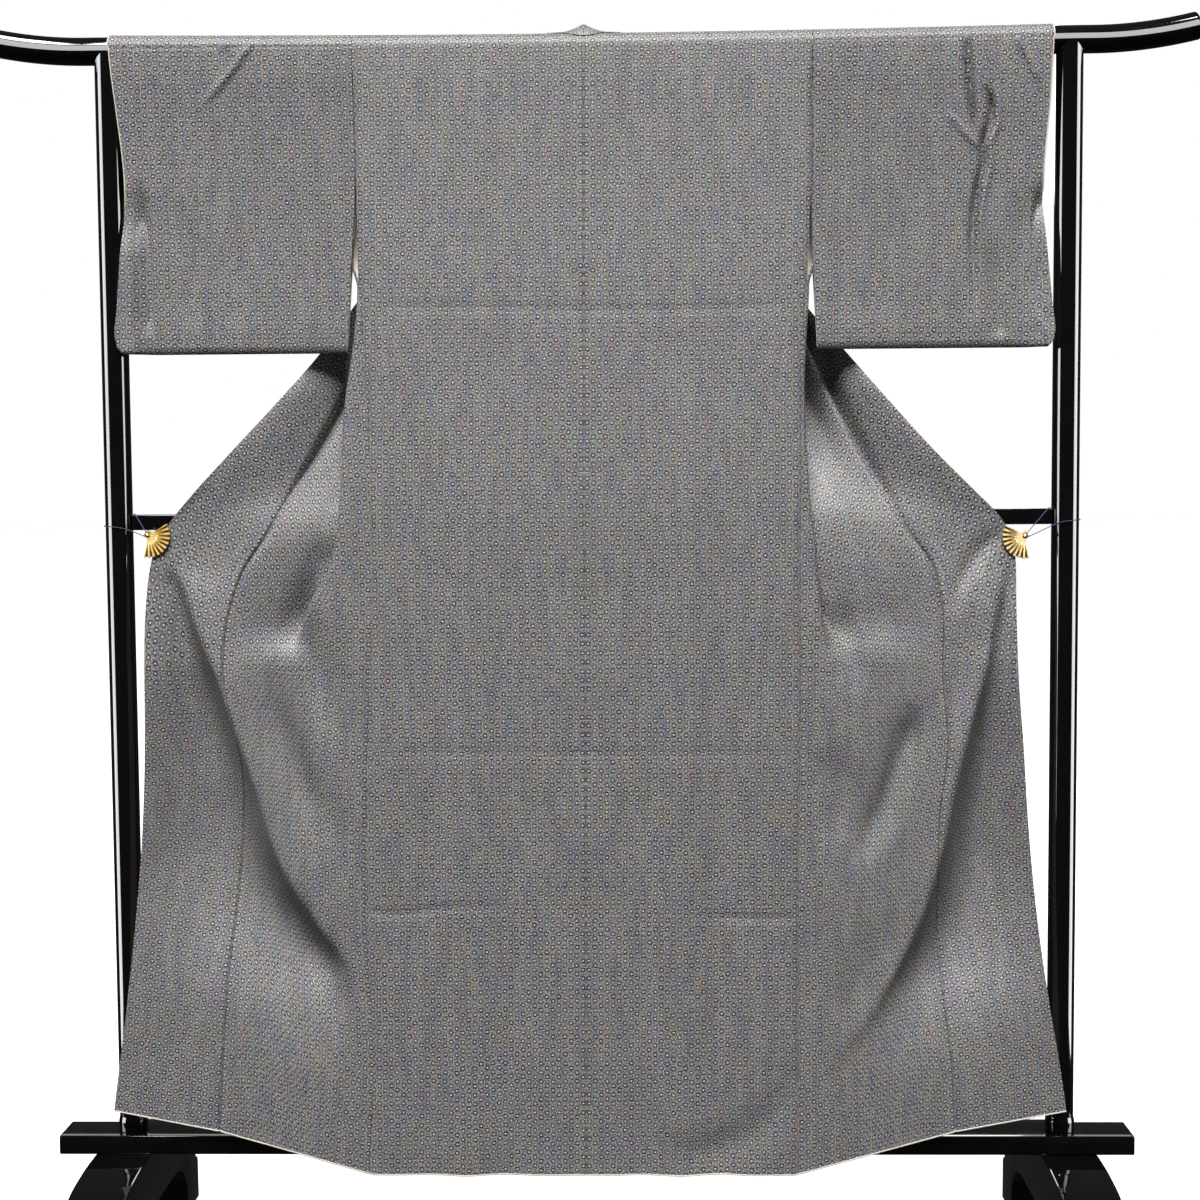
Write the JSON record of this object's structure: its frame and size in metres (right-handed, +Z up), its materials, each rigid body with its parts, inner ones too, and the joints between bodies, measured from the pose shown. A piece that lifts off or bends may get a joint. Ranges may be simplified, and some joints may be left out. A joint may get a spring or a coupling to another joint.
{
  "type": "silk kimono on kimono stand",
  "caption": "Lined silk kimono hung over the rail of a black lacquer kimono stand, back view, fronts drawn out to the sides and held by fan clips.",
  "frame": {"origin": "on the floor, in the middle between the feet, under the middle of the rail", "axes": "+Z up; the back of the kimono faces -Y; +X runs along the rail to the right of someone who looks at the kimono's back"},
  "size_m": [1.6978, 0.47, 1.7701],
  "materials": {
    "silk": "soft silk sheen, small repeat of rings",
    "lacquer": "black gloss lacquer",
    "gilt": "polished gilt",
    "cord": "matt twisted cord"
  },
  "bodies": {
    "root": {"body_left": "silk", "body_right": "silk", "overlap_left": "silk", "overlap_right": "silk", "sleeve_left": "silk", "sleeve_right": "silk", "collar_left": "silk", "collar_right": "silk", "top_rail": "lacquer", "post_left": "lacquer", "post_right": "lacquer", "mid_rail": "lacquer", "bottom_beam": "lacquer", "foot_left": "lacquer", "foot_right": "lacquer", "clip_fan_left": "gilt", "clip_fan_right": "gilt", "clip_jaw_left": "gilt", "clip_jaw_right": "gilt", "clip_pin_left": "gilt", "clip_pin_right": "gilt", "tie_left": "cord", "tie_right": "cord"}
  },
  "joints": []
}
